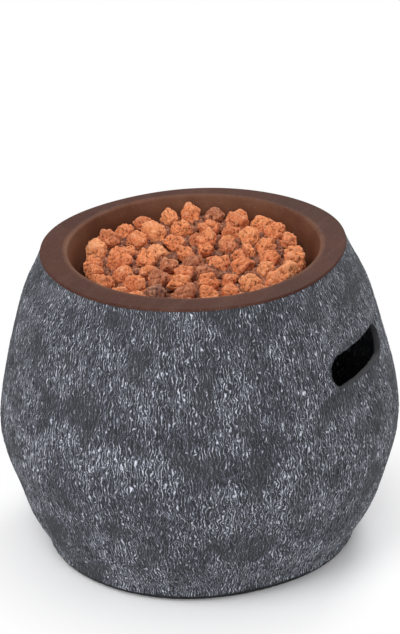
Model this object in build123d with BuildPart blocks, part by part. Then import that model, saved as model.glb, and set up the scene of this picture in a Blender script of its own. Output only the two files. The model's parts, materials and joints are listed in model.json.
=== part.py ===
from build123d import *
import os
from math import atan2, cos, hypot, pi, radians, sin, sqrt
from random import Random

# A gas fire pit bowl: cast stone shell, brown rim bowl, burner, gas train and lava rocks.
# Origin on the floor at the middle, +Z up, hand slots on the X axis, controls on the +Y side.

# Stone shell
body_height = 392.5
foot_gap = 3.0
belly_radius = 248.0
base_radius = 197.0
rim_radius = 184.7
stone_wall = 12.0
base_flange = 16.0
base_ledge = 46.0
seat_gap = 4.0
seat_depth = 18.0
foot_edge_round = 8.0

# Hand-made unevenness of the stone
centre_path = [(0.00, 1.3, -4.0), (0.20, 4.0, 0.9), (0.50, 2.8, -1.2), (1.00, 2.0, -3.0)]
hollow_x = 3.0
hollow_y = -1.0
oval = 3.6
oval_angle = 57.0
lobe_three = 2.0
lobe_five = 1.2
section_points = 20

# Hand slots
slot_length = 128.0
slot_height = 38.0
slot_centre_z = 286.0

# Rim bowl
rim_thickness = 3.0
rim_edge_round = 1.0
lip_radius = 4.0
bowl_mouth_radius = 155.0
bowl_taper = 9.0
bowl_waist_depth = 45.0
bowl_depth = 62.0
bowl_wall = 6.0
ledge_width = 20.0
ledge_thickness = 8.0

# Burner tray
sheet = 1.2
tray_gap = 3.5
pan_gap = 3.5
pan_depth = 16.0
tray_screw_count = 4

# Ring burner
ring_radius = 72.0
ring_width = 16.0
ring_height = 15.0
ring_chamfer = 2.5
ring_wall = 1.2
cross_tube_width = 11.0
ring_centre_above_pan = 14.0
hub_radius = 15.0
port_radius = 1.5
port_count = 16
port_depth = 2.5
spigot_radius = 10.4
spigot_bore_radius = 6.5
spigot_length = 20.0
spigot_gap = 0.3
locknut_width = 30.0
locknut_height = 8.0

# Air mixer, jet and elbow
mixer_radius = 13.0
mixer_length = 46.0
mixer_socket = 8.0
mixer_bore_radius = 8.5
mixer_floor = 5.0
air_window_width = 9.0
air_window_height = 14.0
jet_radius = 4.9
jet_tip_radius = 3.0
jet_length = 12.0
jet_hole_radius = 0.6
jet_hex = 13.0
jet_hex_height = 5.0
elbow_size = 18.0
elbow_port_length = 6.0
elbow_port_radius = 6.0

# Gas valve, knob and inlet
panel_inset = 22.0
control_z = 190.0
valve_x = -34.0
valve_width = 32.0
valve_height = 36.0
valve_depth = 50.0
valve_end_wall = 6.0
valve_screw_inset = 5.0
valve_screw_length = 8.0
bore_room = 1.0
stem_radius = 4.0
stem_gap = 0.06
stem_flat = 1.4
stem_flat_length = 12.0
push_travel = 3.5
push_pin_radius = 2.0
push_pin_gap = 0.08
knob_radius = 22.0
knob_skirt = 6.0
knob_height = 17.0
knob_grip_width = 12.0
knob_clearance = 0.5
knob_rim = 3.0
knob_wall = 2.5
knob_boss_wall = 3.0
knob_front_wall = 3.0
stem_end_gap = 0.2
outlet_boss_radius = 7.5
outlet_boss_height = 8.0
inlet_radius = 7.9
inlet_thread_length = 14.0
inlet_hex = 19.0
inlet_hex_height = 8.0
inlet_bore_radius = 3.5

# Feed tube and its nuts
tube_radius = 4.0
tube_bore_radius = 3.0
tube_nut = 14.0
tube_nut_length = 9.0
tube_nut_gap = 0.1
feed_straight = 46.0
feed_rise = 31.7
feed_bend = 38.0
feed_end_bend = 12.0

# Control panel and the recess it sits in
panel_width = 148.0
panel_height = 92.0
panel_thickness = 1.5
panel_corner = 14.0
panel_gap = 1.5
panel_screw_inset = 10.5
window_width = 112.0
window_height = 60.0
window_corner = 10.0
boss_border = 14.0
boss_depth = 13.0

# Spark igniter
igniter_x = 38.0
igniter_radius = 11.0
igniter_length = 58.0
igniter_flange_radius = 15.0
igniter_flange = 2.5
igniter_neck_radius = 10.0
igniter_neck_length = 4.0
igniter_nut_width = 28.0
igniter_nut_height = 6.0
battery_radius = 5.25
battery_length = 44.5
battery_gap = 0.5
contact_height = 6.0
cap_radius = 13.5
cap_height = 14.0
cap_wall = 2.0
cap_gap = 0.3
cap_groove_count = 10
button_radius = 7.0
button_gap = 0.3
button_flange_radius = 9.0
button_flange = 1.5
button_proud = 6.0
button_rod_radius = 2.5
button_travel = 4.0
battery_tip = 1.0
cap_groove_radius = 1.5
cap_groove_offset = 0.7

# Spark electrode, thermocouple, bracket and rock guard
sensor_y = 42.0
sensor_spacing = 24.0
bracket_width = 44.0
bracket_depth = 16.0
bracket_thickness = 1.5
ceramic_radius = 3.5
ceramic_below = 10.0
ceramic_above = 14.0
spark_pin_radius = 1.2
spark_pin_length = 10.0
collar_step = 1.5
collar_height = 3.0
bracket_screw_end = 4.0
probe_radius = 3.0
probe_below = 8.0
probe_above = 24.0
guard_width = 62.0
guard_depth = 22.0
guard_height = 34.0
guard_corner = 8.0
guard_foot = 7.0

# Leads
lead_radius = 1.5
lead_drop = 34.0
lead_run = 32.0
lead_near = 45.0
lead_end = 17.0
lead_sag = 7.0
lead_bends = [20.0, 24.0, 20.0, 14.0]
sensor_hole_gap = 0.2

# Screws
screw_radius = 2.0
screw_gap = 0.25
screw_head_radius = 4.0
screw_head = 2.2
tray_screw_head = 1.6

# Feet
foot_radius = 12.0
foot_height = 6.0
foot_inset = 31.0
foot_count = 4
foot_screw_length = 8.0
foot_screw_recess = 0.5
foot_screw_end_gap = 1.0

# Lava rocks
rock_gap = 0.3
bed_wall_gap = 3.0
rock_size = 31.0
bed_height = 45.0
heap_height = 13.0
heap_angle = 119.0
rock_reach = 0.74
rock_points = 18
rock_seed = 7

# Heights and radii worked out from the sizes above
stone_height = body_height - foot_gap
seat_z = body_height - rim_thickness
ledge_z = body_height - bowl_depth
pan_floor_z = ledge_z - pan_depth
pan_top_z = pan_floor_z + sheet
ring_z = pan_top_z + ring_centre_above_pan
spigot_end_z = pan_top_z - spigot_length
mixer_top_z = spigot_end_z + mixer_socket
mixer_bottom_z = mixer_top_z - mixer_length
elbow_top_z = mixer_bottom_z - jet_hex_height
elbow_z = elbow_top_z - elbow_size / 2
base_opening_radius = base_radius - base_ledge
foot_circle_radius = base_radius - foot_inset
bowl_waist_radius = bowl_mouth_radius - bowl_taper
seat_opening_radius = bowl_mouth_radius + bowl_wall + seat_gap
ledge_inner_radius = bowl_waist_radius - ledge_width
pan_radius = ledge_inner_radius - pan_gap
lip_outer_radius = bowl_waist_radius - tray_gap
tray_screw_radius = (ledge_inner_radius + lip_outer_radius) / 2
panel_face_y = belly_radius - panel_inset

# Side profile of the stone: share of its height, and how far it has swelled from its end to the belly
swell_from_base = [(0.00, 0.00), (0.05, 0.05), (0.13, 0.39), (0.25, 0.71), (0.38, 0.982), (0.50, 1.00)]
swell_from_rim = [(0.63, 0.840), (0.76, 0.627), (0.88, 0.379), (1.00, 0.00)]
base_swell = belly_radius - base_radius
rim_swell = belly_radius - rim_radius
side_profile = [(share, base_radius + swell * base_swell) for share, swell in swell_from_base]
side_profile += [(share, rim_radius + swell * rim_swell) for share, swell in swell_from_rim]


def stone_centre(share):
    """Middle of the stone's section at a share of its height, on straight lines between the path's points."""
    for (low, low_x, low_y), (high, high_x, high_y) in zip(centre_path, centre_path[1:]):
        if share <= high:
            along = (share - low) / (high - low)
            return low_x + along * (high_x - low_x), low_y + along * (high_y - low_y)


def stone_outline(share, radius):
    """Points of one closed horizontal section of the stone, which wanders and has soft lobes."""
    middle_x, middle_y = stone_centre(share)
    points = []
    for k in range(section_points):
        a = 2 * pi * k / section_points
        r = radius + oval * cos(2 * (a - radians(oval_angle)))
        r += lobe_three * cos(3 * a + 2.5 * share)
        r += lobe_five * cos(5 * a - 4.0 * share)
        points.append((middle_x + r * cos(a), middle_y + r * sin(a)))
    return points


def stone_loft(profile):
    """A solid through the stone's sections of the given shares of its height and radii."""
    with BuildPart() as form:
        for share, radius in profile:
            with BuildSketch(Plane.XY.offset(foot_gap + share * stone_height)):
                with BuildLine():
                    Spline(*stone_outline(share, radius), periodic=True)
                make_face()
        loft()
    return form


def facing_back(x, y, z):
    """A plane at (x, y, z) whose normal is +Y, with +Z as its up direction."""
    return Plane(origin=(x, y, z), x_dir=(-1, 0, 0), z_dir=(0, 1, 0))


def at_angle(radius, degrees, z):
    """A point on a circle round the Z axis."""
    return (radius * cos(radians(degrees)), radius * sin(radians(degrees)), z)


os.makedirs("parts", exist_ok=True)
upward = (Align.CENTER, Align.CENTER, Align.MIN)
downward = (Align.CENTER, Align.CENTER, Align.MAX)
tray_screw_angles = [45 + 360 / tray_screw_count * k for k in range(tray_screw_count)]
foot_angles = [45 + 360 / foot_count * k for k in range(foot_count)]


def hex_screws(planes, head_radius, head, shank):
    """Hex-head screws, one on each plane, with the head on the plane and the shank behind it."""
    with BuildPart() as screws:
        for plane in planes:
            with BuildSketch(plane):
                RegularPolygon(head_radius, 6)
            extrude(amount=head)
            with BuildSketch(plane):
                Circle(screw_radius)
            extrude(amount=-shank)
    return screws


# The whole outer form of the cast, from the floor edge to the top of the rim
stone_form = stone_loft(side_profile)

# Hollow of the stone, round its own upright axis, with an inward flange left at the base
inner_knots = [
    (hollow_x + radius - stone_wall, foot_gap + share * stone_height)
    for share, radius in side_profile[2:-1]
]
flange_z = foot_gap + base_flange
flange_start = (inner_knots[0][0] - base_flange, flange_z)
seat_end = (hollow_x + seat_opening_radius - seat_gap, seat_z - seat_depth)
with BuildPart() as stone_hollow:
    with BuildSketch(Plane.XZ.offset(-hollow_y)):
        with BuildLine():
            Spline(flange_start, *inner_knots, seat_end)
            Polyline(seat_end, (hollow_x, seat_end[1]), (hollow_x, flange_z), flange_start)
        make_face()
    revolve(axis=Axis((hollow_x, hollow_y, 0), (0, 0, 1)))
    Cylinder(base_opening_radius, seat_z / 2, align=upward)
    with Locations((0, 0, seat_z / 2)):
        Cylinder(seat_opening_radius, seat_z / 2, align=upward)
    # the boss round the control window stays solid
    with BuildSketch(facing_back(0, panel_face_y - boss_depth, control_z)):
        RectangleRounded(panel_width + 2 * boss_border, panel_height + 2 * boss_border,
                         panel_corner + boss_border)
    extrude(amount=belly_radius, mode=Mode.SUBTRACT)

# Stone body
panel_screw_x = panel_width / 2 - panel_screw_inset
panel_screw_z = panel_height / 2 - panel_screw_inset
with BuildPart() as stone_body:
    add(stone_form.part)
    split(bisect_by=Plane.XY.offset(seat_z), keep=Keep.BOTTOM)
    fillet(stone_body.edges().group_by(Axis.Z)[0], foot_edge_round)
    add(stone_hollow.part, mode=Mode.SUBTRACT)
    # hand slots through both sides
    with BuildSketch(Plane.YZ.offset(-belly_radius * 1.2)):
        with Locations((0, slot_centre_z)):
            SlotOverall(slot_length, slot_height)
    extrude(amount=belly_radius * 2.4, mode=Mode.SUBTRACT)
    # recess for the control panel, and the window behind it
    with BuildSketch(facing_back(0, panel_face_y, control_z)):
        RectangleRounded(panel_width + 2 * panel_gap, panel_height + 2 * panel_gap, panel_corner + panel_gap)
    extrude(amount=belly_radius, mode=Mode.SUBTRACT)
    with BuildSketch(facing_back(0, panel_face_y, control_z)):
        RectangleRounded(window_width, window_height, window_corner)
    extrude(amount=-2 * boss_depth, mode=Mode.SUBTRACT)
    # pilot holes for the panel screws
    with Locations(facing_back(0, panel_face_y, control_z)):
        with GridLocations(2 * panel_screw_x, 2 * panel_screw_z, 2, 2):
            Cylinder(screw_radius + screw_gap, boss_depth * 0.8, align=downward, mode=Mode.SUBTRACT)
    # pockets and pilot holes for the feet
    with Locations(*[at_angle(foot_circle_radius, a, foot_gap) for a in foot_angles]):
        Cylinder(foot_radius + screw_gap, foot_height - foot_gap, align=upward, mode=Mode.SUBTRACT)
        Cylinder(screw_radius + screw_gap, foot_height - foot_gap + foot_screw_length, align=upward,
                 mode=Mode.SUBTRACT)
stone_body.part.label = "stone_body"
export_step(stone_body.part, "parts/stone_body.step")

# Rim bowl: flat ring that follows the stone's outline, rounded lip, tapered wall and tray ledge
with BuildPart() as rim_bowl:
    add(stone_form.part)
    split(bisect_by=Plane.XY.offset(seat_z), keep=Keep.TOP)
    fillet(rim_bowl.edges().group_by(Axis.Z)[-1], rim_edge_round)
    with BuildSketch(Plane.XZ):
        with BuildLine():
            Polyline((0, seat_z), (bowl_mouth_radius + bowl_wall, seat_z),
                     (bowl_waist_radius + bowl_wall, ledge_z - ledge_thickness),
                     (0, ledge_z - ledge_thickness), close=True)
        make_face()
    revolve(axis=Axis.Z)
    with BuildSketch(Plane.XZ):
        with BuildLine():
            Polyline((0, body_height), (bowl_mouth_radius, body_height),
                     (bowl_waist_radius, body_height - bowl_waist_depth), (bowl_waist_radius, ledge_z),
                     (ledge_inner_radius, ledge_z), (ledge_inner_radius, ledge_z - ledge_thickness),
                     (0, ledge_z - ledge_thickness), close=True)
        make_face()
    revolve(axis=Axis.Z, mode=Mode.SUBTRACT)
    mouth_edge = rim_bowl.edges().filter_by(GeomType.CIRCLE).group_by(Axis.Z)[-1]
    fillet(mouth_edge, lip_radius)
    with Locations(*[at_angle(tray_screw_radius, a, ledge_z) for a in tray_screw_angles]):
        Cylinder(screw_radius + screw_gap, ledge_thickness, align=downward, mode=Mode.SUBTRACT)
rim_bowl.part.label = "rim_bowl"
export_step(rim_bowl.part, "parts/rim_bowl.step")

# Burner tray: spun pan with a flat lip, hub hole, sensor holes and screw holes
with BuildPart() as burner_tray:
    with BuildSketch(Plane.XZ):
        with BuildLine():
            Polyline((spigot_radius + spigot_gap, pan_floor_z), (pan_radius, pan_floor_z),
                     (pan_radius, ledge_z), (lip_outer_radius, ledge_z), (lip_outer_radius, ledge_z + sheet),
                     (pan_radius - sheet, ledge_z + sheet), (pan_radius - sheet, pan_top_z),
                     (spigot_radius + spigot_gap, pan_top_z), close=True)
        make_face()
    revolve(axis=Axis.Z)
    with Locations(*[at_angle(tray_screw_radius, a, ledge_z) for a in tray_screw_angles]):
        Cylinder(screw_radius + screw_gap, sheet, align=upward, mode=Mode.SUBTRACT)
    with Locations((-sensor_spacing / 2, sensor_y, pan_floor_z)):
        Cylinder(probe_radius + sensor_hole_gap, sheet, align=upward, mode=Mode.SUBTRACT)
    with Locations((sensor_spacing / 2, sensor_y, pan_floor_z)):
        Cylinder(ceramic_radius + sensor_hole_gap, sheet, align=upward, mode=Mode.SUBTRACT)
    with Locations((0, sensor_y, pan_floor_z)):
        Cylinder(screw_radius + screw_gap, sheet, align=upward, mode=Mode.SUBTRACT)
burner_tray.part.label = "burner_tray"
export_step(burner_tray.part, "parts/burner_tray.step")

# Tray screws, with low heads under the rocks
tray_screw_planes = [Plane(at_angle(tray_screw_radius, a, ledge_z + sheet)) for a in tray_screw_angles]
tray_screws = hex_screws(tray_screw_planes, screw_head_radius, tray_screw_head, sheet + ledge_thickness)
tray_screws.part.label = "tray_screws"
export_step(tray_screws.part, "parts/tray_screws.step")

# Ring burner: welded box-section ring, cross tube and hub, with a row of flame ports on top
with BuildPart() as ring_burner:
    with BuildSketch(Plane.XZ):
        with Locations((ring_radius, ring_z)):
            ring_section = Rectangle(ring_width, ring_height)
        chamfer(ring_section.vertices().group_by(Axis.Y)[-1], ring_chamfer)
    revolve(axis=Axis.Z)
    with Locations((0, 0, ring_z)):
        Box(2 * ring_radius, cross_tube_width, cross_tube_width)
    with Locations((0, 0, pan_top_z)):
        Cylinder(hub_radius, ring_z - pan_top_z + ring_height / 2, align=upward)
        Cylinder(spigot_radius, spigot_length, align=downward)
    with BuildSketch(Plane.XZ):
        with Locations((ring_radius, ring_z)):
            Rectangle(ring_width - 2 * ring_wall, ring_height - 2 * ring_wall - ring_chamfer)
    revolve(axis=Axis.Z, mode=Mode.SUBTRACT)
    with Locations((0, 0, ring_z)):
        Box(2 * ring_radius, cross_tube_width - 2 * ring_wall, cross_tube_width - 2 * ring_wall,
            mode=Mode.SUBTRACT)
    with Locations((0, 0, spigot_end_z)):
        Cylinder(spigot_bore_radius, ring_z - spigot_end_z, align=upward, mode=Mode.SUBTRACT)
    with BuildSketch(Plane.XY.offset(ring_z + ring_height / 2)):
        with PolarLocations(ring_radius, port_count, start_angle=180 / port_count):
            RegularPolygon(port_radius, 6)
    extrude(amount=-port_depth, mode=Mode.SUBTRACT)
ring_burner.part.label = "ring_burner"
export_step(ring_burner.part, "parts/ring_burner.step")

# Locknut under the pan
with BuildPart() as burner_locknut:
    with BuildSketch(Plane.XY.offset(pan_floor_z - locknut_height)):
        RegularPolygon(locknut_width / 2, 6, major_radius=False)
        Circle(spigot_radius + spigot_gap, mode=Mode.SUBTRACT)
    extrude(amount=locknut_height)
burner_locknut.part.label = "burner_locknut"
export_step(burner_locknut.part, "parts/burner_locknut.step")

# Air mixer: tube on the spigot, with two air windows and a floor that takes the jet
with BuildPart() as air_mixer:
    with Locations((0, 0, mixer_bottom_z)):
        Cylinder(mixer_radius, mixer_length, align=upward)
    with Locations((0, 0, mixer_bottom_z + mixer_floor)):
        Cylinder(mixer_bore_radius, mixer_length, align=upward, mode=Mode.SUBTRACT)
    with Locations((0, 0, spigot_end_z)):
        Cylinder(spigot_radius + spigot_gap, mixer_socket, align=upward, mode=Mode.SUBTRACT)
    with Locations((0, 0, mixer_bottom_z)):
        Cylinder(jet_radius + tube_nut_gap, mixer_floor, align=upward, mode=Mode.SUBTRACT)
    with BuildSketch(Plane.YZ.offset(-mixer_radius)):
        with Locations((0, mixer_bottom_z + mixer_floor + air_window_height)):
            SlotOverall(air_window_height, air_window_width, rotation=90)
    extrude(amount=2 * mixer_radius, mode=Mode.SUBTRACT)
air_mixer.part.label = "air_mixer"
export_step(air_mixer.part, "parts/air_mixer.step")

# Gas jet: hex shoulder, threaded shank and drilled tip
with BuildPart() as gas_jet:
    with BuildSketch(Plane.XY.offset(elbow_top_z)):
        RegularPolygon(jet_hex / 2, 6, major_radius=False)
    extrude(amount=jet_hex_height)
    with Locations((0, 0, mixer_bottom_z)):
        Cylinder(jet_radius, mixer_floor, align=upward)
    with Locations((0, 0, mixer_bottom_z + mixer_floor)):
        Cone(jet_radius, jet_tip_radius, jet_length - mixer_floor, align=upward)
    with Locations((0, 0, elbow_top_z)):
        Cylinder(jet_tip_radius * 0.7, jet_length + jet_hex_height - 3 * jet_hole_radius, align=upward,
                 mode=Mode.SUBTRACT)
        Cylinder(jet_hole_radius, 2 * jet_length, align=upward, mode=Mode.SUBTRACT)
gas_jet.part.label = "gas_jet"
export_step(gas_jet.part, "parts/gas_jet.step")

# Jet elbow: brass block with a passage that turns from the feed tube up into the jet
with BuildPart() as jet_elbow:
    with Locations((0, 0, elbow_z)):
        Box(elbow_size, elbow_size, elbow_size)
    fillet(jet_elbow.edges().filter_by(Axis.Z), elbow_size / 6)
    with Locations(facing_back(0, elbow_size / 2, elbow_z)):
        Cylinder(elbow_port_radius, elbow_port_length, align=upward)
    with Locations(facing_back(0, elbow_size / 2 + elbow_port_length, elbow_z)):
        Cylinder(tube_bore_radius, elbow_port_length + elbow_size / 2, align=downward, mode=Mode.SUBTRACT)
    with Locations((0, 0, elbow_z)):
        Cylinder(jet_tip_radius * 0.7, elbow_size, align=upward, mode=Mode.SUBTRACT)
jet_elbow.part.label = "jet_elbow"
export_step(jet_elbow.part, "parts/jet_elbow.step")

# Gas valve body: block behind the panel with an outlet boss on top and the inlet below
valve_back_y = panel_face_y - valve_depth
valve_y = panel_face_y - valve_depth / 2
valve_top_z = control_z + valve_height / 2
valve_bottom_z = control_z - valve_height / 2
outlet_z = valve_top_z + outlet_boss_height
stem_back_y = panel_face_y - valve_depth * 0.46
pin_back_y = valve_back_y + push_travel + valve_end_wall
valve_screw_z = valve_height / 2 - valve_screw_inset
with BuildPart() as gas_valve:
    with Locations((valve_x, valve_y, control_z)):
        Box(valve_width, valve_depth, valve_height)
    fillet(gas_valve.edges().filter_by(Axis.Y), valve_width / 6)
    with Locations((valve_x, valve_y, valve_top_z)):
        Cylinder(outlet_boss_radius, outlet_boss_height, align=upward)
    with Locations((valve_x, valve_y, outlet_z)):
        Cylinder(tube_bore_radius, outlet_boss_height * 1.5, align=downward, mode=Mode.SUBTRACT)
    with Locations((valve_x, valve_y, valve_bottom_z)):
        Cylinder(inlet_bore_radius, valve_height / 4, align=upward, mode=Mode.SUBTRACT)
    # bore for the stem, and the narrow bore behind it for the push pin
    with Locations(facing_back(valve_x, panel_face_y, control_z)):
        Cylinder(stem_radius + stem_gap, panel_face_y - stem_back_y + push_travel + bore_room,
                 align=downward, mode=Mode.SUBTRACT)
        Cylinder(push_pin_radius + push_pin_gap, panel_face_y - pin_back_y + push_travel + bore_room,
                 align=downward, mode=Mode.SUBTRACT)
        with Locations((0, valve_screw_z), (0, -valve_screw_z)):
            Cylinder(screw_radius + screw_gap, valve_screw_length + bore_room, align=downward,
                     mode=Mode.SUBTRACT)
gas_valve.part.label = "gas_valve"
export_step(gas_valve.part, "parts/gas_valve.step")

# Push pin that the stem pushes against to open the safety magnet
with BuildPart() as valve_push_pin:
    with Locations(facing_back(valve_x, pin_back_y, control_z)):
        Cylinder(push_pin_radius, stem_back_y - pin_back_y, align=upward)
valve_push_pin.part.label = "valve_push_pin"
export_step(valve_push_pin.part, "parts/valve_push_pin.step")

# Valve stem with the flat that drives the knob
knob_back_y = panel_face_y + panel_thickness + push_travel + knob_clearance
knob_front_y = knob_back_y + knob_height
stem_front_y = knob_front_y - knob_front_wall
with BuildPart() as valve_stem:
    with Locations(facing_back(valve_x, stem_back_y, control_z)):
        Cylinder(stem_radius, stem_front_y - stem_back_y, align=upward)
    with BuildSketch(facing_back(valve_x, stem_front_y, control_z)):
        with Locations((0, stem_radius - stem_flat / 2)):
            Rectangle(3 * stem_radius, stem_flat)
    extrude(amount=-stem_flat_length, mode=Mode.SUBTRACT)
valve_stem.part.label = "valve_stem"
export_step(valve_stem.part, "parts/valve_stem.step")

# Control knob: round skirt, raised grip bar, hollow back and a D bore on the stem
with BuildPart() as control_knob:
    with BuildSketch(facing_back(valve_x, knob_back_y, control_z)):
        Circle(knob_radius)
    extrude(amount=knob_skirt)
    chamfer(control_knob.edges().group_by(Axis.Y)[-1], knob_skirt / 5)
    with BuildSketch(facing_back(valve_x, knob_back_y + knob_skirt, control_z)):
        SlotOverall(2 * (knob_radius - knob_rim), knob_grip_width, rotation=90)
    extrude(amount=knob_height - knob_skirt, taper=4)
    fillet(control_knob.edges().group_by(Axis.Y)[-1], knob_grip_width / 8)
    with BuildSketch(facing_back(valve_x, knob_back_y, control_z)):
        Circle(knob_radius - knob_wall)
        Circle(stem_radius + knob_boss_wall, mode=Mode.SUBTRACT)
    extrude(amount=knob_skirt - knob_wall, mode=Mode.SUBTRACT)
    with BuildSketch(facing_back(valve_x, knob_back_y, control_z)):
        Circle(stem_radius + stem_gap)
        with Locations((0, stem_radius + stem_gap - (stem_flat - stem_gap) / 2)):
            Rectangle(3 * stem_radius, stem_flat - stem_gap, mode=Mode.SUBTRACT)
    extrude(amount=stem_front_y - knob_back_y + stem_end_gap, mode=Mode.SUBTRACT)
    with BuildSketch(facing_back(valve_x, knob_back_y, control_z)):
        Circle(stem_radius + stem_gap)
    extrude(amount=stem_front_y - stem_flat_length - knob_back_y + stem_end_gap, mode=Mode.SUBTRACT)
control_knob.part.label = "control_knob"
export_step(control_knob.part, "parts/control_knob.step")

# Control panel plate
with BuildPart() as control_panel:
    with BuildSketch(facing_back(0, panel_face_y, control_z)):
        RectangleRounded(panel_width, panel_height, panel_corner)
        with GridLocations(2 * panel_screw_x, 2 * panel_screw_z, 2, 2):
            Circle(screw_radius + screw_gap, mode=Mode.SUBTRACT)
        with Locations((-valve_x, 0)):
            Circle(stem_radius + 2.0, mode=Mode.SUBTRACT)
        with Locations((-valve_x, valve_screw_z), (-valve_x, -valve_screw_z)):
            Circle(screw_radius + screw_gap, mode=Mode.SUBTRACT)
        with Locations((-igniter_x, 0)):
            Circle(igniter_radius + cap_gap, mode=Mode.SUBTRACT)
    extrude(amount=panel_thickness)
control_panel.part.label = "control_panel"
export_step(control_panel.part, "parts/control_panel.step")

# Panel screws in the four corners
panel_screw_planes = [
    facing_back(side * panel_screw_x, panel_face_y + panel_thickness, control_z + level * panel_screw_z)
    for side in (-1, 1) for level in (-1, 1)
]
panel_screws = hex_screws(panel_screw_planes, screw_head_radius, screw_head,
                          panel_thickness + boss_depth * 0.7)
panel_screws.part.label = "panel_screws"
export_step(panel_screws.part, "parts/panel_screws.step")

# Valve screws, hidden behind the knob's skirt
valve_screw_planes = [
    facing_back(valve_x, panel_face_y + panel_thickness, control_z + side * valve_screw_z)
    for side in (-1, 1)
]
valve_screws = hex_screws(valve_screw_planes, screw_head_radius * 0.9, push_travel * 0.4,
                          panel_thickness + valve_screw_length)
valve_screws.part.label = "valve_screws"
export_step(valve_screws.part, "parts/valve_screws.step")

# Gas inlet: hex and male flare end, pointing down for the user's hose
with BuildPart() as gas_inlet:
    with BuildSketch(Plane.XY.offset(valve_bottom_z)):
        with Locations((valve_x, valve_y)):
            RegularPolygon(inlet_hex / 2, 6, major_radius=False)
    extrude(amount=-inlet_hex_height)
    with Locations((valve_x, valve_y, valve_bottom_z - inlet_hex_height)):
        Cylinder(inlet_radius, inlet_thread_length, align=downward)
    with Locations((valve_x, valve_y, valve_bottom_z - inlet_hex_height - inlet_thread_length)):
        Cone(inlet_radius * 0.62, inlet_radius * 0.95, inlet_radius * 0.45, align=downward)
    with Locations((valve_x, valve_y, valve_bottom_z)):
        Cylinder(inlet_bore_radius, 2 * (inlet_hex_height + inlet_thread_length), align=downward,
                 mode=Mode.SUBTRACT)
gas_inlet.part.label = "gas_inlet"
export_step(gas_inlet.part, "parts/gas_inlet.step")

# Feed tube from the valve's outlet up and across to the jet elbow
feed_start = Vector(0, elbow_size / 2 + elbow_port_length, elbow_z)
feed_end = Vector(valve_x, valve_y, outlet_z)
feed_crest_z = outlet_z + feed_rise
feed_low = feed_start + Vector(0, feed_straight, 0)
feed_points = [
    feed_start,
    feed_low,
    Vector(valve_x * 0.55, (feed_low.Y + valve_y) / 2, (elbow_z + feed_crest_z) / 2),
    Vector(valve_x, valve_y, feed_crest_z),
    feed_end,
]
with BuildPart() as gas_feed_tube:
    with BuildLine() as feed_path:
        FilletPolyline(*feed_points, radius=[feed_bend, feed_bend, feed_end_bend])
    with BuildSketch(facing_back(*feed_start)):
        RegularPolygon(tube_radius, 10)
    sweep(path=feed_path.wires()[0])
gas_feed_tube.part.label = "gas_feed_tube"
export_step(gas_feed_tube.part, "parts/gas_feed_tube.step")

# Compression nuts at both ends of the feed tube
with BuildPart() as tube_nuts:
    with BuildSketch(facing_back(*feed_start)):
        RegularPolygon(tube_nut / 2, 6, major_radius=False)
        Circle(tube_radius + tube_nut_gap, mode=Mode.SUBTRACT)
    extrude(amount=tube_nut_length)
    with BuildSketch(Plane.XY.offset(outlet_z)):
        with Locations((valve_x, valve_y)):
            RegularPolygon(tube_nut / 2, 6, major_radius=False)
            Circle(tube_radius + tube_nut_gap, mode=Mode.SUBTRACT)
    extrude(amount=tube_nut_length)
tube_nuts.part.label = "tube_nuts"
export_step(tube_nuts.part, "parts/tube_nuts.step")

# Igniter housing: closed tube behind the panel, flange and neck in front, open for the battery
panel_front_y = panel_face_y + panel_thickness
igniter_back_y = panel_face_y - igniter_length
igniter_neck_y = panel_front_y + igniter_flange
igniter_mouth_y = igniter_neck_y + igniter_neck_length
battery_front_y = panel_front_y + igniter_flange
battery_back_y = battery_front_y - battery_length
igniter_bore = battery_radius + battery_gap
with BuildPart() as igniter_housing:
    with Locations(facing_back(igniter_x, igniter_back_y, control_z)):
        Cylinder(igniter_radius, igniter_length + panel_thickness, align=upward)
    with Locations(facing_back(igniter_x, panel_front_y, control_z)):
        Cylinder(igniter_flange_radius, igniter_flange, align=upward)
    with Locations(facing_back(igniter_x, igniter_neck_y, control_z)):
        Cylinder(igniter_neck_radius, igniter_neck_length, align=upward)
    with Locations(facing_back(igniter_x, igniter_mouth_y, control_z)):
        Cylinder(igniter_bore, igniter_mouth_y - battery_back_y + contact_height, align=downward,
                 mode=Mode.SUBTRACT)
igniter_housing.part.label = "igniter_housing"
export_step(igniter_housing.part, "parts/igniter_housing.step")

# Nut that clamps the igniter to the panel
with BuildPart() as igniter_nut:
    with BuildSketch(facing_back(igniter_x, panel_face_y, control_z)):
        RegularPolygon(igniter_nut_width / 2, 6, major_radius=False)
        Circle(igniter_radius + tube_nut_gap, mode=Mode.SUBTRACT)
    extrude(amount=-igniter_nut_height)
igniter_nut.part.label = "igniter_nut"
export_step(igniter_nut.part, "parts/igniter_nut.step")

# Battery cell with its raised contact
with BuildPart() as igniter_battery:
    with Locations(facing_back(igniter_x, battery_back_y, control_z)):
        Cylinder(battery_radius, battery_length - battery_tip, align=upward)
    with Locations(facing_back(igniter_x, battery_front_y - battery_tip, control_z)):
        Cylinder(battery_radius * 0.36, battery_tip, align=upward)
igniter_battery.part.label = "igniter_battery"
export_step(igniter_battery.part, "parts/igniter_battery.step")

# Contact at the back of the battery: a stepped conical spring cup
with BuildPart() as battery_contact:
    with BuildSketch(Plane(origin=(igniter_x, 0, control_z), x_dir=(1, 0, 0), z_dir=(0, 0, 1))):
        with BuildLine():
            Polyline((0, battery_back_y - contact_height), (battery_radius, battery_back_y - contact_height),
                     (battery_radius, battery_back_y - contact_height + battery_tip),
                     (battery_radius * 0.4, battery_back_y), (0, battery_back_y), close=True)
        make_face()
    revolve(axis=Axis((igniter_x, 0, control_z), (0, 1, 0)))
battery_contact.part.label = "battery_contact"
export_step(battery_contact.part, "parts/battery_contact.step")

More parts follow.
